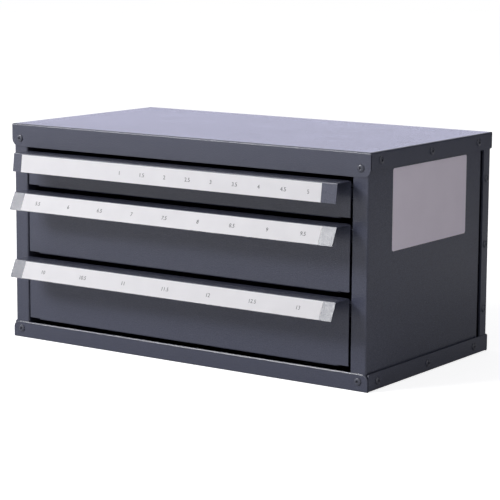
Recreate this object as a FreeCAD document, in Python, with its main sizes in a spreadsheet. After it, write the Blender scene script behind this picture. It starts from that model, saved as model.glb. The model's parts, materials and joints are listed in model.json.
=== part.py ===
"""Drill bit dispenser cabinet: a folded sheet-steel carcass with three drawers.

The origin is the centre of the base, on the surface that the cabinet stands on.
X runs to the right, Y to the back and Z up. Sizes are millimetres and degrees.
"""

import FreeCAD
import Part
import math
import os
import re
import Sketcher

# Driving sizes: the name of each cell and its number
SIZES = (
    # Carcass
    ("cabinet_width", 370.0),
    ("cabinet_depth", 200.0),
    ("plate", 0.8),
    ("fold_radius", 0.7),
    ("slack", 0.3),
    ("lid_front_rise", 20.0),
    ("lid_corner", 7.0),
    ("tray_front_rise", 14.5),
    ("tray_corner", 6.0),
    ("edge_rise", 14.5),
    ("edge_corner", 1.5),
    ("lid_gap", 3.4),
    ("drawer_gap", 3.3),
    ("post_width", 14.9),
    ("post_return", 13.2),
    ("side_return", 10.0),
    ("rear_slot", 2.9),
    ("back_flange", 11.7),
    ("rear_space", 17.6),
    # Drawer fronts, from the top down
    ("upper_front", 31.0),
    ("middle_front", 56.35),
    ("lower_front", 56.35),
    ("front_side_gap", 1.7),
    # Handles
    ("shelf_reach", 19.5),
    ("lip_length", 16.2),
    ("lip_fold", 0.2),
    ("upper_tilt", 7.0),
    ("middle_tilt", 25.0),
    ("lower_tilt", 25.0),
    # Drawer bodies
    ("front_overhang", 11.0),
    ("side_drop", 6.0),
    ("hook_drop", 8.0),
    ("floor_flange", 8.0),
    ("flange_setback", 12.0),
    ("side_play", 1.0),
    ("tab_reach", 9.0),
    ("tab_inset", 2.5),
    ("stop_inset", 1.0),
    # Inner fittings of the drawers
    ("upper_scoop", 19.0),
    ("middle_scoop", 34.0),
    ("lower_scoop", 34.0),
    ("scoop_end_gap", 1.0),
    ("divider_drop", 1.5),
    ("upper_cell", 23.7),
    ("upper_dividers", 9),
    ("middle_dividers", 8),
    ("lower_dividers", 6),
    # Runners
    ("travel", 130.0),
    ("runner_setback", 1.5),
    ("runner_headroom", 0.7),
    ("runner_edge_gap", 0.9),
    ("runner_overlap", 11.1),
    ("stop_rise", 5.0),
    ("stop_width", 6.0),
    ("stop_window", 5.0),
    # Rivets
    ("shank_diameter", 3.2),
    ("hole_play", 0.1),
    ("dome_diameter", 6.4),
    ("dome_height", 1.1),
    ("dome_bevel", 0.75),
    ("flat_diameter", 5.6),
    ("flat_height", 0.9),
    ("flat_bevel", 0.45),
    ("mandrel_hole", 2.0),
    ("mandrel_depth", 0.8),
    ("tail_length", 2.2),
    ("front_rivet_inset", 8.9),
    ("lid_front_rivet", 12.9),
    ("tray_front_rivet", 8.2),
    ("edge_rivet", 7.2),
    ("edge_rivet_start", 16.2),
    ("edge_rivet_end", 24.0),
    ("back_rivet_inset", 6.5),
    ("back_rivet_low", 37.4),
    ("back_rivet_high", 40.0),
    ("runner_rivet_front", 5.1),
    ("runner_rivet_rear", 5.6),
    # Label strips and side sticker
    ("strip_thickness", 0.15),
    ("strip_height", 15.2),
    ("strip_top_inset", 0.05),
    ("upper_strip_left", 9.4),
    ("upper_strip_right", 14.1),
    ("middle_strip_left", 12.7),
    ("middle_strip_right", 13.1),
    ("lower_strip_left", 13.1),
    ("lower_strip_right", 11.4),
    ("sticker_start", 37.8),
    ("sticker_width", 120.7),
    ("sticker_bottom", 108.5),
    ("sticker_height", 67.0),
    ("sticker_corner", 2.0),
)
NAMES = {name for name, number in SIZES}

# Round things that repeat have few sides, because there are many of them
HOLE_SIDES = 8
HEAD_SIDES = 12
MANDREL_SIDES = 6


def between(low, high):
    """Two places and the one halfway between them."""
    return (low, f"(({low} + {high}) / 2)", high)


# Places that several pieces share, worked out from the driving sizes
HALF_WIDTH = "(cabinet_width / 2)"
FRONT = "(-cabinet_depth / 2)"
REAR = "(cabinet_depth / 2)"
PANEL_FRONT = f"({FRONT} + plate)"
PANEL_REAR = f"({REAR} - plate)"
SIDE_FACE = f"({HALF_WIDTH} - 2 * plate - slack)"
POST_EDGE = f"({SIDE_FACE} - post_width)"
FLANGE_FRONT = f"({PANEL_REAR} - back_flange)"
SIDE_REAR = f"({FLANGE_FRONT} - rear_slot)"
FOLD_OUTSIDE = "(fold_radius + plate)"
LIP_FOLD_OUTSIDE = "(lip_fold + plate)"

LOWER_BOTTOM = "(tray_front_rise + drawer_gap)"
LOWER_TOP = f"({LOWER_BOTTOM} + lower_front)"
MIDDLE_BOTTOM = f"({LOWER_TOP} + drawer_gap)"
MIDDLE_TOP = f"({MIDDLE_BOTTOM} + middle_front)"
UPPER_BOTTOM = f"({MIDDLE_TOP} + drawer_gap)"
UPPER_TOP = f"({UPPER_BOTTOM} + upper_front)"
CABINET_TOP = f"({UPPER_TOP} + lid_gap + lid_front_rise)"

FRONT_HALF = f"({POST_EDGE} - front_side_gap)"
BODY_HALF = f"({FRONT_HALF} - front_overhang)"
HOOK_OUTSIDE = f"({POST_EDGE} - plate - flat_height - side_play)"
DRAWER_REAR = f"({PANEL_REAR} - plate - rear_space)"
BACK_WALL = f"({DRAWER_REAR} - plate)"
BODY_FRONT = f"({PANEL_FRONT} + plate)"
HOOK_FRONT = f"({BODY_FRONT} + plate)"
RUNNER_FRONT = f"({HOOK_FRONT} + runner_setback)"
RUNNER_STOP = f"({DRAWER_REAR} + slack)"
LIP_EDGE = f"({BODY_HALF} + plate + runner_edge_gap)"
UPRIGHT_FRONT = f"({RUNNER_STOP} - runner_overlap)"

HOLE = "(shank_diameter + hole_play)"
LID_FRONT_RIVET_Z = f"({CABINET_TOP} - lid_front_rivet)"
LID_EDGE_RIVET_Z = f"({CABINET_TOP} - edge_rivet)"
FRONT_RIVET_X = f"({HALF_WIDTH} - front_rivet_inset)"
EDGE_RIVETS_Y = between(f"({FRONT} + edge_rivet_start)", f"({REAR} - edge_rivet_end)")
BACK_RIVET_Y = f"({REAR} - back_rivet_inset)"
BACK_RIVETS_Z = between("back_rivet_low", f"({CABINET_TOP} - back_rivet_high)")
RUNNER_RIVETS_Y = (f"({RUNNER_FRONT} + runner_rivet_front)", f"({RUNNER_STOP} - runner_rivet_rear)")

# Each drawer: its name, the bottom and top of its front
DRAWERS = (
    ("upper", UPPER_BOTTOM, UPPER_TOP),
    ("middle", MIDDLE_BOTTOM, MIDDLE_TOP),
    ("lower", LOWER_BOTTOM, LOWER_TOP),
)

doc = FreeCAD.newDocument("DrillBitCabinet")
sheet = doc.addObject("Spreadsheet::Sheet", "Sizes")
for row, (name, number) in enumerate(SIZES, start=1):
    sheet.set(f"A{row}", name)
    sheet.set(f"B{row}", str(number))
    sheet.setAlias(f"B{row}", name)
doc.recompute()

nodes = []


def bound(expression):
    """Point each size name in an expression at its cell."""

    def cell(found):
        return f"Sizes.{found[0]}" if found[0] in NAMES else found[0]

    return re.sub(r"[a-z_]+", cell, expression)


def new_body(name):
    """A sub-part made by sketches and features."""
    body = doc.addObject("PartDesign::Body", name)
    body.Label = name
    body.AllowCompound = True
    nodes.append(body)
    return body


def origin_part(body, role):
    """The origin plane or axis of a body that has this role."""
    return next(item for item in body.Origin.OriginFeatures if item.Role == role)


def new_sketch(body, plane, offset):
    """A sketch on one of the body's own origin planes, moved along its normal."""
    sketch = body.newObject("Sketcher::SketchObject", f"{body.Name}_sketch")
    sketch.AttachmentSupport = (origin_part(body, plane), [""])
    sketch.MapMode = "FlatFace"
    sketch.setExpression("AttachmentOffset.Base.z", bound(offset))
    return sketch


def bind_point(sketch, element, position, start, place):
    """Hold one point of the sketch at a place given by two expressions."""
    for axis, value, expression in zip(("DistanceX", "DistanceY"), start, place):
        dimension = Sketcher.Constraint(axis, -1, 1, element, position, value)
        index = sketch.addConstraint(dimension)
        sketch.setExpression(f"Constraints[{index}]", bound(expression))


def draw_outline(sketch, corners):
    """A closed outline of straight lines through the corners."""
    count = len(corners)
    first = sketch.GeometryCount
    turns = [2 * math.pi * index / count for index in range(count)]
    starts = [FreeCAD.Vector(math.cos(turn), math.sin(turn), 0) for turn in turns]
    for index, start in enumerate(starts):
        sketch.addGeometry(Part.LineSegment(start, starts[(index + 1) % count]), False)
    for index, corner in enumerate(corners):
        line = first + index
        following = first + (index + 1) % count
        sketch.addConstraint(Sketcher.Constraint("Coincident", line, 2, following, 1))
        bind_point(sketch, line, 1, (starts[index].x, starts[index].y), corner[:2])


def ring(centre, diameter, sides):
    """The corners of a regular outline that the circle of this diameter goes round."""
    x, y = centre
    turns = [360 * (index + 0.5) / sides for index in range(sides)]
    return [
        (f"({x}) + {diameter} / 2 * cos({turn})", f"({y}) + {diameter} / 2 * sin({turn})")
        for turn in turns
    ]


def draw_holes(sketch, centres, diameter):
    """One hole of this diameter about each centre."""
    for centre in centres:
        draw_outline(sketch, ring(centre, diameter, HOLE_SIDES))


def edges_through(shape, point, direction):
    """Names of the straight edges along the direction that pass through the point."""
    found = []
    for number, edge in enumerate(shape.Edges, start=1):
        if edge.Curve.TypeId != "Part::GeomLine":
            continue
        along = edge.Vertexes[-1].Point - edge.Vertexes[0].Point
        aside = (point - edge.Vertexes[0].Point).cross(direction).Length
        if along.cross(direction).Length < 1e-6 and aside < 1e-6:
            found.append(f"Edge{number}")
    return found


def round_corners(body, feature, sketch, corners):
    """Round the corners whose third entry gives a radius."""
    direction = sketch.Placement.Rotation.multVec(FreeCAD.Vector(0, 0, 1))
    radii = sorted({corner[2] for corner in corners if len(corner) == 3})
    for radius in radii:
        edges = []
        for line, corner in zip(sketch.Geometry, corners):
            if corner[2:] == (radius,):
                point = sketch.Placement.multVec(line.StartPoint)
                edges += edges_through(feature.Shape, point, direction)
        fillet = body.newObject("PartDesign::Fillet", f"{body.Name}_fillet")
        fillet.Base = (feature, edges)
        fillet.setExpression("Radius", bound(radius))
        doc.recompute()
        feature = fillet
    return feature


def add_prism(body, plane, corners, start, length, backwards=False):
    """Pad an outline along its plane's normal, or backwards, and round its corners."""
    sketch = new_sketch(body, plane, start)
    draw_outline(sketch, corners)
    pad = body.newObject("PartDesign::Pad", f"{body.Name}_pad")
    pad.Profile = sketch
    pad.Reversed = backwards
    pad.setExpression("Length", bound(length))
    doc.recompute()
    return round_corners(body, pad, sketch, corners)


def cut(body, plane, draw, start, depth, forwards=False):
    """Pocket what draw puts on a sketch; forwards cuts along the plane's normal."""
    before = body.Shape.Volume
    sketch = new_sketch(body, plane, start)
    draw(sketch)
    pocket = body.newObject("PartDesign::Pocket", f"{body.Name}_pocket")
    pocket.Profile = sketch
    pocket.Reversed = forwards
    pocket.setExpression("Length", bound(depth))
    doc.recompute()
    if not body.Shape.Volume < before:
        raise ValueError(f"{pocket.Name} cuts nothing")
    return pocket


def drill(body, plane, centres, start, depth, forwards=False):
    """Cut rivet holes through the sheets within the depth."""
    return cut(
        body, plane, lambda sketch: draw_holes(sketch, centres, HOLE), start, depth, forwards
    )


def cut_outline(body, plane, corners, start, depth, forwards=False):
    """Cut a straight-sided opening."""
    return cut(body, plane, lambda sketch: draw_outline(sketch, corners), start, depth, forwards)


def rectangle(low, high, bottom, top):
    """The corners of an upright rectangle."""
    return ((low, bottom), (high, bottom), (high, top), (low, top))


def mirrored_copy(source, name):
    """A left-hand sub-part from its right-hand twin."""
    copy = doc.addObject("Part::Mirroring", name)
    copy.Label = name
    copy.Source = source
    copy.Normal = (1, 0, 0)
    nodes.append(copy)
    return copy


# Carcass


def folded_tray(name, front_rise, front_corner, front_rivet):
    """A shallow pan with its plate at the bottom and a flange on each side."""
    body = new_body(name)
    leg = f"(2 * {FOLD_OUTSIDE})"
    inside = f"({HALF_WIDTH} - plate)"
    side_start = f"({FRONT} + {FOLD_OUTSIDE} + slack)"
    side_end = f"({REAR} - {FOLD_OUTSIDE} - slack)"
    across = (
        (f"-{HALF_WIDTH}", leg),
        (f"-{HALF_WIDTH}", "0", FOLD_OUTSIDE),
        (HALF_WIDTH, "0", FOLD_OUTSIDE),
        (HALF_WIDTH, leg),
        (inside, leg),
        (inside, "plate"),
        (f"-{inside}", "plate"),
        (f"-{inside}", leg),
    )
    add_prism(
        body, "XZ_Plane", across, f"-{side_start}", f"{side_end} - {side_start}", backwards=True
    )
    front_fold = (
        (FRONT, leg),
        (FRONT, "0", FOLD_OUTSIDE),
        (side_start, "0"),
        (side_start, "plate"),
        (f"{FRONT} + plate", "plate"),
        (f"{FRONT} + plate", leg),
    )
    rear_fold = (
        (REAR, leg),
        (REAR, "0", FOLD_OUTSIDE),
        (side_end, "0"),
        (side_end, "plate"),
        (f"{REAR} - plate", "plate"),
        (f"{REAR} - plate", leg),
    )
    for fold in (front_fold, rear_fold):
        add_prism(body, "YZ_Plane", fold, f"-{HALF_WIDTH}", f"2 * {HALF_WIDTH}")

    # The flanges above the folds, with their corners rounded
    front = (
        (f"-{HALF_WIDTH}", leg),
        (HALF_WIDTH, leg),
        (HALF_WIDTH, front_rise, front_corner),
        (f"-{HALF_WIDTH}", front_rise, front_corner),
    )
    add_prism(body, "XZ_Plane", front, f"-{FRONT}", "plate", backwards=True)
    rear = (
        (f"-{HALF_WIDTH}", leg),
        (HALF_WIDTH, leg),
        (HALF_WIDTH, "edge_rise", "edge_corner"),
        (f"-{HALF_WIDTH}", "edge_rise", "edge_corner"),
    )
    add_prism(body, "XZ_Plane", rear, f"-{REAR}", "plate")
    side = (
        (side_start, leg),
        (side_end, leg),
        (side_end, "edge_rise", "edge_corner"),
        (side_start, "edge_rise", "edge_corner"),
    )
    for start in (inside, f"-{HALF_WIDTH}"):
        add_prism(body, "YZ_Plane", side, start, "plate")

    edge_holes = [(y, "edge_rivet") for y in EDGE_RIVETS_Y]
    drill(body, "YZ_Plane", edge_holes, f"{HALF_WIDTH} + plate", f"2 * {HALF_WIDTH} + 2 * plate")
    front_holes = [(x, front_rivet) for x in (FRONT_RIVET_X, f"-{FRONT_RIVET_X}")]
    drill(body, "XZ_Plane", front_holes, f"-{FRONT} + plate", "3 * plate")
    rear_holes = [(x, "edge_rivet") for x in (FRONT_RIVET_X, f"-{FRONT_RIVET_X}")]
    drill(body, "XZ_Plane", rear_holes, f"-{REAR} - plate", "3 * plate", forwards=True)
    return body


def top_lid():
    """The lid is the same kind of tray turned over, with a deeper front."""
    body = folded_tray("top_lid", "lid_front_rise", "lid_corner", "lid_front_rivet")
    body.Placement.Rotation = FreeCAD.Rotation(FreeCAD.Vector(0, 1, 0), 180)
    body.setExpression("Placement.Base.z", bound(CABINET_TOP))


def side_panels():
    """A side sheet folded into the front post and, at the rear, a short return."""
    body = new_body("right_side_panel")
    inside = f"{SIDE_FACE} - plate"
    section = (
        (POST_EDGE, f"{PANEL_FRONT} + post_return"),
        (POST_EDGE, PANEL_FRONT, FOLD_OUTSIDE),
        (SIDE_FACE, PANEL_FRONT, FOLD_OUTSIDE),
        (SIDE_FACE, SIDE_REAR, FOLD_OUTSIDE),
        (f"{SIDE_FACE} - side_return", SIDE_REAR),
        (f"{SIDE_FACE} - side_return", f"{SIDE_REAR} - plate"),
        (inside, f"{SIDE_REAR} - plate", "fold_radius"),
        (inside, f"{PANEL_FRONT} + plate", "fold_radius"),
        (f"{POST_EDGE} + plate", f"{PANEL_FRONT} + plate", "fold_radius"),
        (f"{POST_EDGE} + plate", f"{PANEL_FRONT} + post_return"),
    )
    add_prism(body, "XY_Plane", section, "plate", f"{CABINET_TOP} - 2 * plate")
    edge_holes = [(y, z) for y in EDGE_RIVETS_Y for z in ("edge_rivet", LID_EDGE_RIVET_Z)]
    drill(body, "YZ_Plane", edge_holes, f"{SIDE_FACE} + plate", "3 * plate")
    front_holes = [(FRONT_RIVET_X, z) for z in ("tray_front_rivet", LID_FRONT_RIVET_Z)]
    drill(body, "XZ_Plane", front_holes, f"-{PANEL_FRONT} + plate", "3 * plate")
    runner_holes = [(RUNNER_RIVETS_Y[0], runner_middle(top)) for _, _, top in DRAWERS]
    drill(body, "YZ_Plane", runner_holes, f"{POST_EDGE} + 2 * plate", "3 * plate")
    mirrored_copy(body, "left_side_panel")


def back_panel():
    """The rear sheet with a flange that comes forward at each side."""
    body = new_body("back_panel")
    outside = f"({HALF_WIDTH} - plate)"
    inside = f"({outside} - plate)"
    front = f"{PANEL_REAR} - plate"
    section = (
        (f"-{outside}", FLANGE_FRONT),
        (f"-{outside}", PANEL_REAR, FOLD_OUTSIDE),
        (outside, PANEL_REAR, FOLD_OUTSIDE),
        (outside, FLANGE_FRONT),
        (inside, FLANGE_FRONT),
        (inside, front, "fold_radius"),
        (f"-{inside}", front, "fold_radius"),
        (f"-{inside}", FLANGE_FRONT),
    )
    add_prism(body, "XY_Plane", section, "plate", f"{CABINET_TOP} - 2 * plate")
    flange_holes = [(BACK_RIVET_Y, z) for z in BACK_RIVETS_Z]
    drill(body, "YZ_Plane", flange_holes, f"{outside} + plate", f"2 * {outside} + 2 * plate")
    rear_holes = [
        (x, z)
        for x in (FRONT_RIVET_X, f"-{FRONT_RIVET_X}")
        for z in ("edge_rivet", LID_EDGE_RIVET_Z)
    ]
    drill(body, "XZ_Plane", rear_holes, f"-{PANEL_REAR} - plate", "3 * plate", forwards=True)


def rear_uprights():
    """A channel behind each rear corner that carries the ends of the runners."""
    body = new_body("right_rear_upright")
    outside = f"({HALF_WIDTH} - 2 * plate)"
    rear = f"({PANEL_REAR} - plate)"
    section = (
        (POST_EDGE, UPRIGHT_FRONT),
        (f"{POST_EDGE} + plate", UPRIGHT_FRONT),
        (f"{POST_EDGE} + plate", f"{rear} - plate", "fold_radius"),
        (f"{outside} - plate", f"{rear} - plate", "fold_radius"),
        (f"{outside} - plate", FLANGE_FRONT),
        (outside, FLANGE_FRONT),
        (outside, rear, FOLD_OUTSIDE),
        (POST_EDGE, rear, FOLD_OUTSIDE),
    )
    add_prism(body, "XY_Plane", section, "plate", f"{CABINET_TOP} - 2 * plate")
    flange_holes = [(BACK_RIVET_Y, z) for z in BACK_RIVETS_Z]
    drill(body, "YZ_Plane", flange_holes, f"{outside} + plate", "3 * plate")
    rear_holes = [(FRONT_RIVET_X, z) for z in ("edge_rivet", LID_EDGE_RIVET_Z)]
    drill(body, "XZ_Plane", rear_holes, f"-{rear} - plate", "3 * plate", forwards=True)
    runner_holes = [(RUNNER_RIVETS_Y[1], runner_middle(top)) for _, _, top in DRAWERS]
    drill(body, "YZ_Plane", runner_holes, f"{POST_EDGE} + 2 * plate", "3 * plate")
    mirrored_copy(body, "left_rear_upright")


# Runners


def runner_floor(top):
    """Height of the lower lip's upper face, where the hook's edge slides."""
    return f"({top} - side_drop - hook_drop - slack)"


def runner_ceiling(top):
    """Height of the upper lip's lower face."""
    return f"({top} - side_drop + runner_headroom)"


def runner_middle(top):
    """Height halfway up the channel."""
    return f"(({runner_floor(top)} + {runner_ceiling(top)}) / 2)"


def runners(drawer, top):
    """A channel open to the drawer, with a stop at each end of the travel."""
    body = new_body(f"{drawer}_right_runner")
    floor = runner_floor(top)
    ceiling = runner_ceiling(top)
    web = f"({POST_EDGE} - plate)"
    section = (
        (POST_EDGE, f"{floor} - plate"),
        (POST_EDGE, f"{ceiling} + plate"),
        (LIP_EDGE, f"{ceiling} + plate"),
        (LIP_EDGE, ceiling),
        (web, ceiling),
        (web, floor),
        (LIP_EDGE, floor),
        (LIP_EDGE, f"{floor} - plate"),
    )
    length = f"{RUNNER_STOP} + plate - {RUNNER_FRONT}"
    add_prism(body, "XZ_Plane", section, f"-{RUNNER_FRONT}", length, backwards=True)
    rear_stop = rectangle(LIP_EDGE, web, floor, ceiling)
    add_prism(body, "XZ_Plane", rear_stop, f"-{RUNNER_STOP}", "plate", backwards=True)

    stop_rear = f"({BACK_WALL} - travel - slack)"
    stop_low = f"({LIP_EDGE} + stop_inset)"
    stop_high = f"({stop_low} + stop_width)"
    front_stop = rectangle(stop_low, stop_high, floor, f"{floor} + stop_rise")
    add_prism(body, "XZ_Plane", front_stop, f"-{stop_rear}", "plate")
    window = rectangle(
        stop_low, stop_high, f"{stop_rear} - plate - stop_window", f"{stop_rear} - plate"
    )
    cut_outline(body, "XY_Plane", window, floor, "2 * plate")
    holes = [(y, runner_middle(top)) for y in RUNNER_RIVETS_Y]
    drill(body, "YZ_Plane", holes, f"{POST_EDGE} + plate", "3 * plate")
    mirrored_copy(body, f"{drawer}_left_runner")


# Drawers


def drawer_pan(drawer, bottom, top):
    """Lip, shelf, front, floor and back wall folded from one sheet."""
    body = new_body(f"{drawer}_drawer_pan")
    tilt = f"{drawer}_tilt"
    bend_y = f"({PANEL_FRONT} - shelf_reach)"
    end_y = f"({bend_y} - lip_length * sin({tilt}))"
    end_z = f"({top} - lip_length * cos({tilt}))"
    relief = f"({bottom} + {FOLD_OUTSIDE})"
    handle = (
        (BODY_FRONT, relief),
        (BODY_FRONT, top, FOLD_OUTSIDE),
        (bend_y, top, LIP_FOLD_OUTSIDE),
        (end_y, end_z),
        (f"{end_y} + plate * cos({tilt})", f"{end_z} - plate * sin({tilt})"),
        (f"{bend_y} + plate * (1 - sin({tilt})) / cos({tilt})", f"{top} - plate", "lip_fold"),
        (PANEL_FRONT, f"{top} - plate", "fold_radius"),
        (PANEL_FRONT, relief),
    )
    add_prism(body, "YZ_Plane", handle, f"-{FRONT_HALF}", f"2 * {FRONT_HALF}")
    wall_top = f"{top} - side_drop - divider_drop"
    trough = (
        (PANEL_FRONT, relief),
        (PANEL_FRONT, bottom, FOLD_OUTSIDE),
        (BACK_WALL, bottom, FOLD_OUTSIDE),
        (BACK_WALL, wall_top),
        (f"{BACK_WALL} - plate", wall_top),
        (f"{BACK_WALL} - plate", f"{bottom} + plate", "fold_radius"),
        (BODY_FRONT, f"{bottom} + plate", "fold_radius"),
        (BODY_FRONT, relief),
    )
    add_prism(body, "YZ_Plane", trough, f"-{BODY_HALF}", f"2 * {BODY_HALF}")


def drawer_sides(drawer, bottom, top):
    """A side wall with the hook that runs in the channel, and tabs at both ends."""
    body = new_body(f"{drawer}_drawer_right_side")
    side_top = f"({top} - side_drop)"
    outside = f"({BODY_HALF} + plate)"
    hook_inside = f"({HOOK_OUTSIDE} - plate)"
    flange_end = f"{outside} - floor_flange"
    hook_end = f"{side_top} - hook_drop"
    section = (
        (flange_end, f"{bottom} - plate"),
        (outside, f"{bottom} - plate"),
        (outside, f"{side_top} - plate"),
        (hook_inside, f"{side_top} - plate"),
        (hook_inside, hook_end),
        (HOOK_OUTSIDE, hook_end),
        (HOOK_OUTSIDE, side_top),
        (BODY_HALF, side_top),
        (BODY_HALF, bottom),
        (flange_end, bottom),
    )
    length = f"{BACK_WALL} - {HOOK_FRONT}"
    add_prism(body, "XZ_Plane", section, f"-{HOOK_FRONT}", length, backwards=True)
    # The flange under the floor starts behind the front's lower fold
    setback = rectangle(flange_end, outside, HOOK_FRONT, f"{HOOK_FRONT} + flange_setback")
    cut_outline(body, "XY_Plane", setback, bottom, "plate")
    tab_low = f"{bottom} + tab_inset"
    front_tab = rectangle(
        BODY_HALF, f"{outside} + tab_reach", tab_low, f"{hook_end} - plate - 2 * slack"
    )
    add_prism(body, "XZ_Plane", front_tab, f"-{BODY_FRONT}", "plate", backwards=True)
    rear_tab = rectangle(
        f"{outside} - tab_reach", outside, tab_low, f"{side_top} - tab_inset"
    )
    add_prism(body, "XZ_Plane", rear_tab, f"-{BACK_WALL}", "plate", backwards=True)
    stop = rectangle(
        f"{outside} + stop_inset", f"{hook_inside} - stop_inset", f"{hook_end} + stop_inset", side_top
    )
    add_prism(body, "XZ_Plane", stop, f"-{BACK_WALL}", "plate", backwards=True)
    mirrored_copy(body, f"{drawer}_drawer_left_side")


def scoop_liner(drawer, bottom, top):
    """The sheet on the floor that curves up the front, so that bits roll out."""
    body = new_body(f"{drawer}_drawer_scoop")
    floor = f"({bottom} + plate)"
    scoop = f"{drawer}_scoop"
    rear = f"{BACK_WALL} - plate - scoop_end_gap"
    wall_top = f"{top} - side_drop - divider_drop"
    section = (
        (BODY_FRONT, floor, scoop),
        (rear, floor),
        (rear, f"{floor} + plate"),
        (f"{BODY_FRONT} + plate", f"{floor} + plate", f"{scoop} - plate"),
        (f"{BODY_FRONT} + plate", wall_top),
        (BODY_FRONT, wall_top),
    )
    half = f"({BODY_HALF} - slack)"
    add_prism(body, "YZ_Plane", section, f"-{half}", f"2 * {half}")


def dividers(drawer, bottom, top):
    """Upright plates from front to back, whose lower front corner follows the scoop."""
    body = new_body(f"{drawer}_drawer_dividers")
    count = f"{drawer}_dividers"
    low = f"{bottom} + 2 * plate"
    high = f"{top} - side_drop - divider_drop"
    front = f"{BODY_FRONT} + plate"
    rear = f"{BACK_WALL} - plate"
    outline = ((front, low, f"{drawer}_scoop"), (rear, low), (rear, high), (front, high))
    pitch = "upper_cell" if drawer == "upper" else f"(2 * {BODY_HALF} / ({count} + 1))"
    # The last plate stands one cell in from the right-hand wall
    start = f"{BODY_HALF} - {count} * {pitch} - plate / 2"
    add_prism(body, "YZ_Plane", outline, start, "plate")
    pattern = body.newObject("PartDesign::LinearPattern", f"{body.Name}_pattern")
    pattern.TransformMode = "Whole shape"
    pattern.Direction = (origin_part(body, "X_Axis"), [""])
    pattern.Mode = "Spacing"
    pattern.setExpression("Offset", bound(pitch))
    pattern.setExpression("Occurrences", bound(count))
    body.Tip = pattern
    doc.recompute()


def label_strip(drawer, top):
    """A thin strip on the face of the lip."""
    body = new_body(f"{drawer}_drawer_label")
    tilt = f"{drawer}_tilt"
    bend_y = f"({PANEL_FRONT} - shelf_reach)"

    def on_lip(down, out):
        """A point this far down the lip and this far out from its face."""
        y = f"{bend_y} - ({down}) * sin({tilt}) - ({out}) * cos({tilt})"
        z = f"{top} - ({down}) * cos({tilt}) + ({out}) * sin({tilt})"
        return (y, z)

    # The strip starts below the round of the fold
    high = f"{LIP_FOLD_OUTSIDE} * tan((90 - {tilt}) / 2) + strip_top_inset"
    low = f"{high} + strip_height"
    section = (
        on_lip(high, "0"),
        on_lip(low, "0"),
        on_lip(low, "strip_thickness"),
        on_lip(high, "strip_thickness"),
    )
    left = f"({FRONT_HALF} - {drawer}_strip_left)"
    right = f"({FRONT_HALF} - {drawer}_strip_right)"
    add_prism(body, "YZ_Plane", section, f"-{left}", f"{left} + {right}")


def side_sticker():
    """The bare rounded sheet stuck on the right side."""
    body = new_body("side_sticker")
    start = f"{FRONT} + sticker_start"
    end = f"{start} + sticker_width"
    top = "sticker_bottom + sticker_height"
    outline = (
        (start, "sticker_bottom", "sticker_corner"),
        (end, "sticker_bottom", "sticker_corner"),
        (end, top, "sticker_corner"),
        (start, top, "sticker_corner"),
    )
    add_prism(body, "YZ_Plane", outline, SIDE_FACE, "strip_thickness")


# Rivets


def bevel(body, feature, height, size):
    """Bevel every edge of the feature that lies at this height."""
    edges = [
        f"Edge{number}"
        for number, edge in enumerate(feature.Shape.Edges, start=1)
        if abs(edge.BoundBox.ZMin - height) + abs(edge.BoundBox.ZMax - height) < 1e-6
    ]
    chamfer = body.newObject("PartDesign::Chamfer", f"{body.Name}_bevel")
    chamfer.Base = (feature, edges)
    chamfer.setExpression("Size", bound(size))
    doc.recompute()


def rivet(name, head, grip):
    """A blind rivet along Z: head above the sheets, hollow in the middle, shank below."""
    body = doc.addObject("PartDesign::Body", name)
    centre = ("0", "0")
    crown = f"{head}_height"
    disc = add_prism(body, "XY_Plane", ring(centre, f"{head}_diameter", HEAD_SIDES), "0", crown)
    bevel(body, disc, disc.Shape.BoundBox.ZMax, f"{head}_bevel")
    shank = ring(centre, "shank_diameter", HOLE_SIDES)
    add_prism(body, "XY_Plane", shank, "0", f"{grip} + tail_length", backwards=True)
    hollow = ring(centre, "mandrel_hole", MANDREL_SIDES)
    cut_outline(body, "XY_Plane", hollow, crown, "mandrel_depth")
    return body


def rivet_group(name, places):
    """One node of alike rivets; each place is a rivet, where it sits and which way."""
    links = []
    for source, place, direction in places:
        link = doc.addObject("App::Link", f"{name}_one")
        link.LinkedObject = source
        turn = FreeCAD.Rotation(FreeCAD.Vector(0, 0, 1), FreeCAD.Vector(*direction))
        link.LinkPlacement = FreeCAD.Placement(FreeCAD.Vector(0, 0, 0), turn)
        for axis, expression in zip("xyz", place):
            link.setExpression(f"Placement.Base.{axis}", bound(expression))
        links.append(link)
    group = doc.addObject("Part::Compound", name)
    group.Label = name
    group.Links = links
    nodes.append(group)


def edge_rivets(name, front_z, edge_z, front, side, rear):
    """The rivets round the lid or the tray."""
    places = []
    for sign, hand in (("", 1), ("-", -1)):
        x = f"{sign}{FRONT_RIVET_X}"
        places.append((front, (x, FRONT, front_z), (0, -1, 0)))
        places.append((rear, (x, REAR, edge_z), (0, 1, 0)))
        for y in EDGE_RIVETS_Y:
            places.append((side, (f"{sign}{HALF_WIDTH}", y, edge_z), (hand, 0, 0)))
    rivet_group(name, places)


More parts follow.
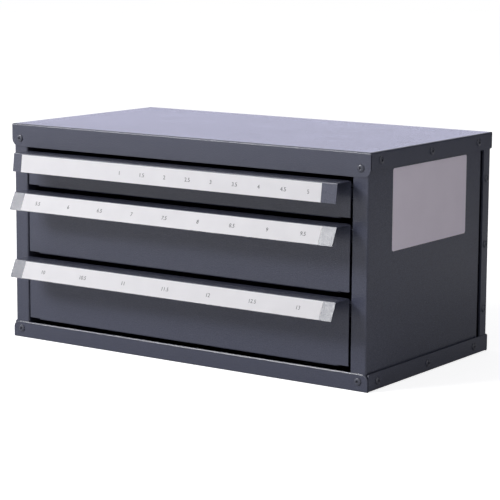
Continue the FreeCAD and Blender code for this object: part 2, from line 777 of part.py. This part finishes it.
def all_rivets():
    """Each kind of rivet once, then the groups that use it."""
    two_sheets = rivet("rivet_two_sheets", "dome", "2 * plate")
    three_sheets = rivet("rivet_three_sheets", "dome", "3 * plate")
    spaced = rivet("rivet_spaced", "dome", "3 * plate + slack")
    flat = rivet("rivet_flat", "flat", "2 * plate")
    edge_rivets(
        "lid_rivets", LID_FRONT_RIVET_Z, LID_EDGE_RIVET_Z, two_sheets, spaced, three_sheets
    )
    edge_rivets("base_rivets", "tray_front_rivet", "edge_rivet", two_sheets, spaced, three_sheets)
    hands = (("", 1), ("-", -1))
    back = [
        (two_sheets, (f"{sign}({HALF_WIDTH} - plate)", BACK_RIVET_Y, z), (hand, 0, 0))
        for sign, hand in hands
        for z in BACK_RIVETS_Z
    ]
    rivet_group("back_rivets", back)
    runner = [
        (flat, (f"{sign}({POST_EDGE} - plate)", y, runner_middle(top)), (-hand, 0, 0))
        for sign, hand in hands
        for y in RUNNER_RIVETS_Y
        for _, _, top in DRAWERS
    ]
    rivet_group("runner_rivets", runner)


def check_model():
    """Stop if any object failed or any sub-part has no valid shape."""
    for item in doc.Objects:
        if {"Invalid", "Error"} & set(item.State):
            raise ValueError(f"{item.Name} failed: {item.State}")
    for node in nodes:
        if node.Shape.isNull() or not node.Shape.isValid():
            raise ValueError(f"{node.Label} has no valid shape")


def write_steps():
    """Write one file for each sub-part."""
    os.makedirs("parts", exist_ok=True)
    for node in nodes:
        node.Shape.exportStep(f"parts/{node.Label}.step")


top_lid()
folded_tray("base_tray", "tray_front_rise", "tray_corner", "tray_front_rivet")
side_panels()
back_panel()
rear_uprights()
for drawer, bottom, top in DRAWERS:
    runners(drawer, top)
    drawer_pan(drawer, bottom, top)
    drawer_sides(drawer, bottom, top)
    scoop_liner(drawer, bottom, top)
    dividers(drawer, bottom, top)
    label_strip(drawer, top)
side_sticker()
all_rivets()
doc.recompute()
check_model()
write_steps()
for node in nodes:
    box = node.Shape.BoundBox
    print(
        f"{node.Label}: {len(node.Shape.Solids)} solids, {node.Shape.Volume:.1f} mm3, "
        f"x {box.XMin:.2f} to {box.XMax:.2f}, y {box.YMin:.2f} to {box.YMax:.2f}, "
        f"z {box.ZMin:.2f} to {box.ZMax:.2f}"
    )
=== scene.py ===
import json
import math

import bpy
from mathutils import Matrix, Vector


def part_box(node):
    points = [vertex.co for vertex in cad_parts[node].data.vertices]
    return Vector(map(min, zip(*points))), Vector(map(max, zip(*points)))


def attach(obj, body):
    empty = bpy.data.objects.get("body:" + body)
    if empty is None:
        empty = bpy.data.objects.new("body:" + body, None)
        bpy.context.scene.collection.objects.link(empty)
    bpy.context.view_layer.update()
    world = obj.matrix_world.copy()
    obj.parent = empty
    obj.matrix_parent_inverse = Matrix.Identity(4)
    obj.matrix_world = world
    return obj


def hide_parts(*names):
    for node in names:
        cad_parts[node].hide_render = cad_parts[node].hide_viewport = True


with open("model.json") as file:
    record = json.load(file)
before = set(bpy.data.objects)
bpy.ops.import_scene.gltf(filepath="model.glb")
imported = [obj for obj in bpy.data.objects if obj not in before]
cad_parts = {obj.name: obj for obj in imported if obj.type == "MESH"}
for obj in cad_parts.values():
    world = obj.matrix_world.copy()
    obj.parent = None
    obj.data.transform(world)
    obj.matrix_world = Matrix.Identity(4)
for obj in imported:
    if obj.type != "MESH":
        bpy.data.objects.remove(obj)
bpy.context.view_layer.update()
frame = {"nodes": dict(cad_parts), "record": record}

MM = 0.001


# Shared tools


def mesh_object(name, points, faces, material):
    """An object in the scene that is one mesh of one material."""
    mesh = bpy.data.meshes.new(name)
    mesh.from_pydata(points, [], faces)
    mesh.validate()
    mesh.materials.append(material)
    thing = bpy.data.objects.new(name, mesh)
    bpy.context.scene.collection.objects.link(thing)
    return thing


def flat_sheet(name, width, length, material):
    """A flat rectangle about its middle."""
    across = width / 2
    along = length / 2
    corners = [(-across, -along, 0), (across, -along, 0), (across, along, 0), (-across, along, 0)]
    return mesh_object(name, corners, [(0, 1, 2, 3)], material)


def facing(place, target):
    """The place and turn of something that looks from this place at the target."""
    toward = Vector(target) - Vector(place)
    return Matrix.Translation(place) @ toward.to_track_quat("-Z", "Y").to_matrix().to_4x4()


# Materials

# Most of a noise texture's values lie between these two
NOISE_LOW = 0.3
NOISE_HIGH = 0.7


def new_material(name):
    """A material with its nodes and its main shader."""
    material = bpy.data.materials.new(name)
    material.use_nodes = True
    tree = material.node_tree
    return material, tree, tree.nodes["Principled BSDF"]


def noise(tree, scale, detail=2.0, roughness=0.5):
    """Noise fixed to the object; its size is about one over the scale, in metres."""
    texture = tree.nodes.new("ShaderNodeTexNoise")
    texture.inputs["Scale"].default_value = scale
    texture.inputs["Detail"].default_value = detail
    texture.inputs["Roughness"].default_value = roughness
    place = tree.nodes.new("ShaderNodeTexCoord").outputs["Object"]
    tree.links.new(place, texture.inputs["Vector"])
    return texture.outputs["Fac"]


def spread(tree, value, low, high):
    """The noise, stretched from the middle of its range to between low and high."""
    ramp = tree.nodes.new("ShaderNodeMapRange")
    ramp.inputs["From Min"].default_value = NOISE_LOW
    ramp.inputs["From Max"].default_value = NOISE_HIGH
    ramp.inputs["To Min"].default_value = low
    ramp.inputs["To Max"].default_value = high
    tree.links.new(value, ramp.inputs["Value"])
    return ramp.outputs["Result"]


def shade(tree, shader, value, first, second):
    """Let the base colour follow the noise from the first colour to the second."""
    mix = tree.nodes.new("ShaderNodeMix")
    mix.data_type = "RGBA"
    mix.inputs["A"].default_value = (*first, 1)
    mix.inputs["B"].default_value = (*second, 1)
    tree.links.new(spread(tree, value, 0.0, 1.0), mix.inputs["Factor"])
    tree.links.new(mix.outputs["Result"], shader.inputs["Base Color"])


def uneven_gloss(tree, shader, value, low, high):
    """Let the roughness follow the noise between low and high."""
    tree.links.new(spread(tree, value, low, high), shader.inputs["Roughness"])


def bump(tree, shader, height, distance):
    """Let the surface's normal follow the noise, as high as the distance in metres."""
    node = tree.nodes.new("ShaderNodeBump")
    node.inputs["Strength"].default_value = 1.0
    node.inputs["Distance"].default_value = distance
    tree.links.new(height, node.inputs["Height"])
    tree.links.new(node.outputs["Normal"], shader.inputs["Normal"])


def powder_coat():
    """Dark blue-grey powder coat: a fine orange peel, paler specks and a slightly uneven gloss."""
    material, tree, shader = new_material("powder_coat")
    specks = noise(tree, scale=1400.0, detail=3.0)
    shade(tree, shader, specks, first=(0.048, 0.052, 0.080), second=(0.078, 0.084, 0.124))
    uneven_gloss(tree, shader, noise(tree, scale=28.0, detail=3.0), low=0.200, high=0.222)
    peel = noise(tree, scale=900.0, detail=3.0, roughness=0.6)
    bump(tree, shader, peel, distance=0.2 * MM)
    return material


def rivet_dark():
    """Smoother paint of the blind rivets, a little worn by the tool that set them."""
    material, tree, shader = new_material("rivet_dark")
    wear = noise(tree, scale=700.0)
    shade(tree, shader, wear, first=(0.055, 0.059, 0.083), second=(0.078, 0.082, 0.110))
    uneven_gloss(tree, shader, noise(tree, scale=500.0), low=0.13, high=0.20)
    bump(tree, shader, noise(tree, scale=1500.0), distance=0.1 * MM)
    return material


def label_white():
    """Matt white film with a faint unevenness and a fine grain."""
    material, tree, shader = new_material("label_white")
    clouds = noise(tree, scale=60.0)
    shade(tree, shader, clouds, first=(0.76, 0.75, 0.78), second=(0.79, 0.78, 0.81))
    shader.inputs["Roughness"].default_value = 0.8
    shader.inputs["Specular IOR Level"].default_value = 0.15
    bump(tree, shader, noise(tree, scale=2200.0), distance=0.03 * MM)
    return material


def sticker_grey():
    """Pale grey film of the bare side sticker, with an uneven sheen."""
    material, tree, shader = new_material("sticker_grey")
    clouds = noise(tree, scale=40.0)
    shade(tree, shader, clouds, first=(0.88, 0.80, 0.92), second=(0.91, 0.83, 0.95))
    uneven_gloss(tree, shader, noise(tree, scale=22.0), low=0.45, high=0.55)
    return material


def print_grey():
    """Ink of the plain numbers, thinner here and there."""
    material, tree, shader = new_material("print_grey")
    ink_grain = noise(tree, scale=900.0)
    shade(tree, shader, ink_grain, first=(0.06, 0.06, 0.07), second=(0.12, 0.12, 0.13))
    shader.inputs["Roughness"].default_value = 0.6
    return material


materials = {
    "powder_coat": powder_coat(),
    "rivet_dark": rivet_dark(),
    "label_white": label_white(),
    "sticker_grey": sticker_grey(),
}
slots = {entry["node"]: entry["material_slot"] for entry in frame["record"]["subparts"]}
for name, node in frame["nodes"].items():
    for slot in node.material_slots:
        slot.material = materials[slots[name]]
    if not node.material_slots:
        node.data.materials.append(materials[slots[name]])


# Finer rivets outside

# Points of one rivet lie nearer to each other than this, in metres
RIVET_REACH = 8.0 * MM
RIVET_SIDES = 40
SMOOTH_UP_TO = 40.0
DOME_STEPS = 8
# Sizes in millimetres
SHANK_RADIUS = 1.6
TAIL_RADIUS = 1.1
TAIL_ROUNDING = 0.4
HEAD_RADIUS = 3.2
HEAD_HEIGHT = 1.1
HEAD_EDGE = 0.1
RIM_HEIGHT = 0.3
HOLE_RADIUS = 1.0
HOLE_LIP = 0.25
HOLE_ROUNDING = 0.06
# The spent mandrel in the hole: the way in from the hole's wall, and the height
MANDREL = ((0.0, 0.1), (0.12, 0.05), (0.2, 0.15), (HOLE_RADIUS, 0.2))


def rivet_boxes(node):
    """The lowest and highest corner of each rivet in a node of rivets."""
    clusters = []
    for vertex in node.data.vertices:
        for cluster in clusters:
            if (cluster[0] - vertex.co).length < RIVET_REACH:
                cluster.append(vertex.co)
                break
        else:
            clusters.append([vertex.co])
    boxes = []
    for cluster in clusters:
        low = Vector([min(point[axis] for point in cluster) for axis in range(3)])
        high = Vector([max(point[axis] for point in cluster) for axis in range(3)])
        boxes.append((low, high))
    return boxes


def rivet_profile(tail):
    """Radius and height in mm, from the tail's end up the shank and over the head to the mandrel."""
    profile = [
        (0.0, -tail),
        (TAIL_RADIUS, -tail),
        (TAIL_RADIUS + TAIL_ROUNDING, TAIL_ROUNDING - tail),
        (SHANK_RADIUS, 2 * TAIL_ROUNDING - tail),
        (SHANK_RADIUS, 0.0),
        (HEAD_RADIUS - HEAD_EDGE, 0.0),
        (HEAD_RADIUS, HEAD_EDGE),
        (HEAD_RADIUS, RIM_HEIGHT),
    ]
    inner = HOLE_RADIUS + HOLE_LIP
    for step in range(1, DOME_STEPS + 1):
        turn = math.pi / 2 * step / DOME_STEPS
        radius = inner + (HEAD_RADIUS - inner) * math.cos(turn)
        profile.append((radius, RIM_HEIGHT + (HEAD_HEIGHT - RIM_HEIGHT) * math.sin(turn)))
    profile.append((HOLE_RADIUS + HOLE_ROUNDING, HEAD_HEIGHT - HOLE_ROUNDING))
    profile.append((HOLE_RADIUS, HEAD_HEIGHT - HOLE_LIP))
    profile += [(HOLE_RADIUS - inward, height) for inward, height in MANDREL]
    return profile


def add_rivet(points, faces, low, high):
    """Add a closed round rivet where the plain one lies between these corners."""
    span = high - low
    axis = min(range(3), key=lambda index: span[index])
    middle = (low + high) / 2
    side = 1 if middle[axis] > 0 else -1
    out = Vector([side if index == axis else 0 for index in range(3)])
    foot = middle.copy()
    foot[axis] = (high if side > 0 else low)[axis] - side * HEAD_HEIGHT * MM
    turn = out.to_track_quat("Z", "Y").to_matrix()
    (_, tail_end), *rings, (_, mandrel_end) = rivet_profile(span[axis] / MM - HEAD_HEIGHT)
    start = len(points)
    for radius, height in rings:
        for number in range(RIVET_SIDES):
            angle = 2 * math.pi * number / RIVET_SIDES
            spot = Vector((radius * math.cos(angle), radius * math.sin(angle), height))
            points.append(foot + turn @ spot * MM)
    tail = len(points)
    last = tail - RIVET_SIDES
    points.append(foot + turn @ Vector((0, 0, tail_end)) * MM)
    points.append(foot + turn @ Vector((0, 0, mandrel_end)) * MM)
    for number in range(RIVET_SIDES):
        after = (number + 1) % RIVET_SIDES
        faces.append((tail, start + after, start + number))
        faces.append((tail + 1, last + number, last + after))
        for lower in range(start, last, RIVET_SIDES):
            upper = lower + RIVET_SIDES
            faces.append((lower + number, lower + after, upper + after, upper + number))


def round_rivets(name):
    """Round domed rivets with a hole and a spent mandrel, in place of the node's plain ones."""
    points = []
    faces = []
    for low, high in rivet_boxes(frame["nodes"][name]):
        add_rivet(points, faces, low, high)
    piece = mesh_object(f"{name}_round", points, faces, materials["rivet_dark"])
    for polygon in piece.data.polygons:
        polygon.use_smooth = True
    piece.data.set_sharp_from_angle(angle=math.radians(SMOOTH_UP_TO))
    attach(piece, "cabinet")
    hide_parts(name)


for name in ("lid_rivets", "base_rivets", "back_rivets"):
    round_rivets(name)


# Paint built up along the upper edge of the tray's front flange

TRAY_CORNER = 6.0
CORNER_STEPS = 10
# Across the bead, in millimetres: out from the flange's front face, and beyond its edge
BEAD = (
    (0.0, -1.2),
    (0.2, -1.0),
    (0.27, -0.75),
    (-0.18, 0.15),
    (-0.4, 0.25),
    (-0.7, 0.12),
    (-0.75, -0.2),
)


def edge_path(half_width, height, corner):
    """Points along the flange's edge, with the way out from the edge at each."""
    path = []
    for side in (-1, 1):
        centre = (side * (half_width - corner), height - corner)
        turns = [math.pi / 2 * step / CORNER_STEPS for step in range(CORNER_STEPS + 1)]
        if side > 0:
            turns.reverse()
        for turn in turns:
            way = (side * math.cos(turn), math.sin(turn))
            path.append(((centre[0] + corner * way[0], centre[1] + corner * way[1]), way))
    return path


def tray_bead():
    """A thin rounded line of paint that catches the light."""
    low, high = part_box("base_tray")
    path = edge_path(high[0] / MM, high[2] / MM, TRAY_CORNER)
    points = []
    faces = []
    for (x, z), way in path:
        for out, beyond in BEAD:
            spot = Vector((x + way[0] * beyond, low[1] / MM - out, z + way[1] * beyond))
            points.append(spot * MM)
    size = len(BEAD)
    for ring in range(len(path) - 1):
        for number in range(size):
            corner = ring * size + number
            after = ring * size + (number + 1) % size
            faces.append((corner, corner + size, after + size, after))
    faces.append(tuple(range(size)))
    faces.append(tuple(reversed(range(len(points) - size, len(points)))))
    bead = mesh_object("tray_edge_bead", points, faces, materials["powder_coat"])
    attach(bead, "cabinet")


tray_bead()


# Numbers on the strips

NUMBER_HEIGHT = 3.3 * MM
# The font's size for digits that are one high
FONT_SIZE = 1.4
NUMBER_DOWN = 7.9 * MM
NUMBER_LIFT = 0.08 * MM
ink = print_grey()


def strip_face(drawer):
    """The top middle of a strip's outer face, the way down it and the way out from it."""
    strip = frame["nodes"][f"{drawer}_drawer_label"]
    widest = max(strip.data.polygons, key=lambda face: -face.normal.y * face.area)
    out = widest.normal.normalized()
    down = out.cross(Vector((1, 0, 0))).normalized()
    if down.z > 0:
        down = -down
    corners = [vertex.co for vertex in strip.data.vertices]
    outermost = max(corner.dot(out) for corner in corners)
    top = min(corner.dot(down) for corner in corners)
    return out * outermost + down * top, down, out


def write_numbers(drawer, first, last, start, pitch):
    """Plain numbers by halves along the strip, the first at the start, in millimetres."""
    face, down, out = strip_face(drawer)
    count = round((last - first) * 2) + 1
    turn = Matrix((Vector((1, 0, 0)), -down, out)).transposed().to_4x4()
    for index in range(count):
        value = first + index / 2
        text = bpy.data.curves.new(f"{drawer}_number_{index + 1}", "FONT")
        text.body = f"{value:g}"
        text.size = NUMBER_HEIGHT * FONT_SIZE
        text.align_x = "CENTER"
        text.align_y = "CENTER"
        text.extrude = NUMBER_LIFT / 2
        text.materials.append(ink)
        number = bpy.data.objects.new(f"{drawer}_number_{index + 1}", text)
        place = face + down * NUMBER_DOWN + out * NUMBER_LIFT / 2
        place = place + Vector((start + index * pitch, 0, 0)) * MM
        number.matrix_world = Matrix.Translation(place) @ turn
        bpy.context.scene.collection.objects.link(number)
        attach(number, f"{drawer}_drawer")


write_numbers("upper", first=1.0, last=5.0, start=-48.7, pitch=23.63)
write_numbers("middle", first=5.5, last=9.5, start=-136.7, pitch=34.28)
write_numbers("lower", first=10.0, last=13.0, start=-131.3, pitch=44.13)


# Floor, lights and world

FLOOR_SPAN = 12.0
# How much the floor gives off where the camera sees it, so that it is as white as the background
FLOOR_LIFT = 0.78


def matt_glow(name, base, glow):
    """A material without gloss that gives off this colour."""
    material, tree, shader = new_material(name)
    shader.inputs["Base Color"].default_value = (*base, 1)
    shader.inputs["Specular IOR Level"].default_value = 0.0
    shader.inputs["Emission Color"].default_value = (*glow, 1)
    shader.inputs["Emission Strength"].default_value = 1.0
    return material, tree, shader


def arithmetic(tree, operation, first):
    """A math node whose first input is linked."""
    node = tree.nodes.new("ShaderNodeMath")
    node.operation = operation
    tree.links.new(first, node.inputs[0])
    return node


def white_floor():
    """A white floor that keeps the object's shadow."""
    material, tree, shader = matt_glow("floor_white", base=(0.80, 0.80, 0.82), glow=(1, 1, 1))
    shader.inputs["Roughness"].default_value = 1.0
    path = tree.nodes.new("ShaderNodeLightPath")
    lift = arithmetic(tree, "MULTIPLY", path.outputs["Is Camera Ray"])
    lift.inputs[1].default_value = FLOOR_LIFT
    tree.links.new(lift.outputs["Value"], shader.inputs["Emission Strength"])
    floor = flat_sheet("floor", FLOOR_SPAN, FLOOR_SPAN, material)


def area_light(name, place, target, width, height, power):
    """A soft light that looks at the target."""
    lamp = bpy.data.lights.new(name, "AREA")
    lamp.shape = "RECTANGLE"
    lamp.size = width
    lamp.size_y = height
    lamp.energy = power
    light = bpy.data.objects.new(name, lamp)
    light.matrix_world = facing(place, target)
    light.visible_camera = False
    bpy.context.scene.collection.objects.link(light)


def reflection_card(name, place, target, width, height, glow):
    """A card out of sight that only shows in the paint's reflections."""
    material, _, _ = matt_glow(name, base=(0, 0, 0), glow=glow)
    card = flat_sheet(name, width, height, material)
    card.matrix_world = facing(place, target)
    card.visible_camera = False
    card.visible_diffuse = False
    card.visible_shadow = False


def studio_world(fill):
    """White where it is seen or mirrored, and a soft fill for everything else."""
    world = bpy.data.worlds.new("studio")
    world.use_nodes = True
    tree = world.node_tree
    path = tree.nodes.new("ShaderNodeLightPath")
    seen = arithmetic(tree, "MAXIMUM", path.outputs["Is Camera Ray"])
    tree.links.new(path.outputs["Is Glossy Ray"], seen.inputs[1])
    either = arithmetic(tree, "MAXIMUM", seen.outputs["Value"])
    tree.links.new(path.outputs["Is Transmission Ray"], either.inputs[1])
    strength = tree.nodes.new("ShaderNodeMapRange")
    strength.inputs["To Min"].default_value = fill
    strength.inputs["To Max"].default_value = 1.0
    tree.links.new(either.outputs["Value"], strength.inputs["Value"])
    background = tree.nodes["Background"]
    background.inputs["Color"].default_value = (1, 1, 1, 1)
    tree.links.new(strength.outputs["Result"], background.inputs["Strength"])
    bpy.context.scene.world = world


white_floor()
studio_world(fill=0.27)
area_light(
    "front_left_light",
    place=(-1.30, -1.62, 1.42),
    target=(0, -0.1, 0.1),
    width=1.1,
    height=0.6,
    power=46.0,
)
reflection_card(
    "side_card",
    place=(1.0, 1.6, 0.3),
    target=(0.2, 0, 0.1),
    width=2.4,
    height=2.0,
    glow=(0.06, 0.06, 0.08),
)
reflection_card(
    "horizon_card",
    place=(-1.4, -1.8, 0.43),
    target=(0, -0.1, 0.15),
    width=2.0,
    height=0.30,
    glow=(3.0, 3.0, 3.3),
)
reflection_card(
    "rear_card",
    place=(-1.3, 1.7, 0.55),
    target=(0, 0, 0.19),
    width=2.2,
    height=1.0,
    glow=(1.03, 1.03, 1.33),
)


# Camera, solved from the photographed edges

CAMERA_PLACE = (978.1, -1405.8, 367.2)
AZIMUTH = 34.782
ELEVATION = 8.544
ROLL = 0.389
FOCAL_PIXELS = 1975.1
IMAGE_PIXELS = 500
SENSOR_WIDTH = 36.0
LENS_SHIFT = -0.06
FARTHEST = 50.0


def main_camera():
    """A camera at the photograph's viewing angle."""
    azimuth = math.radians(AZIMUTH)
    elevation = math.radians(ELEVATION)
    roll = math.radians(ROLL)
    forward = Vector(
        (
            -math.sin(azimuth) * math.cos(elevation),
            math.cos(azimuth) * math.cos(elevation),
            -math.sin(elevation),
        )
    )
    right = Vector((math.cos(azimuth), math.sin(azimuth), 0))
    up = right.cross(forward)
    turned_right = right * math.cos(roll) + up * math.sin(roll)
    turned_up = up * math.cos(roll) - right * math.sin(roll)
    turn = Matrix((turned_right, turned_up, -forward)).transposed().to_4x4()
    lens = bpy.data.cameras.new("camera")
    lens.sensor_width = SENSOR_WIDTH
    lens.lens = FOCAL_PIXELS / IMAGE_PIXELS * SENSOR_WIDTH
    lens.shift_y = LENS_SHIFT
    lens.clip_end = FARTHEST
    camera = bpy.data.objects.new("camera", lens)
    camera.matrix_world = Matrix.Translation(Vector(CAMERA_PLACE) * MM) @ turn
    bpy.context.scene.collection.objects.link(camera)
    bpy.context.scene.camera = camera


main_camera()
bpy.context.scene.view_settings.view_transform = "Standard"
